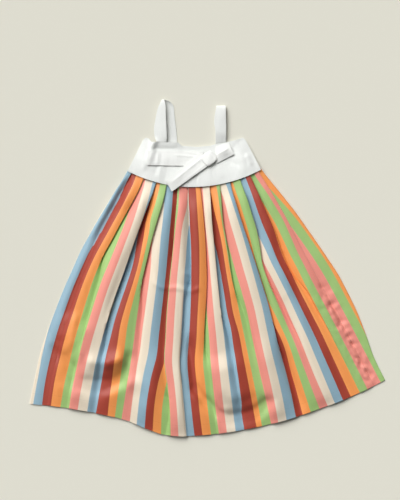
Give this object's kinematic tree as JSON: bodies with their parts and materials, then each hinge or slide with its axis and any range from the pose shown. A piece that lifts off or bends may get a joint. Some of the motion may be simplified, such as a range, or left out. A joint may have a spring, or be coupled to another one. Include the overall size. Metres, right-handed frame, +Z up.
{
  "type": "child's hanbok skirt dress",
  "caption": "Child's hanbok chima laid flat: full pleated skirt in saekdong stripes, white strap bodice and a tied white sash.",
  "frame": {"origin": "middle of the garment's underside, where it rests on the table", "axes": "+X to the right of the view, +Y from the hem towards the neck, +Z up from the table"},
  "size_m": [0.7112, 0.6722, 0.0192],
  "materials": {
    "striped_silk": "satin-faced plain weave in cream, blue, brick, orange, green and pink stripes",
    "white_cotton": "matt white plain weave",
    "white_sash": "soft white with a low sheen"
  },
  "bodies": {
    "root": {"skirt_front": "striped_silk", "skirt_back": "striped_silk", "bodice_front": "white_cotton", "bodice_back": "white_cotton", "strap_left": "white_cotton", "strap_right": "white_cotton", "sash_band": "white_sash", "sash_tail": "white_sash", "sash_loop": "white_sash", "sash_knot": "white_sash"}
  },
  "joints": []
}
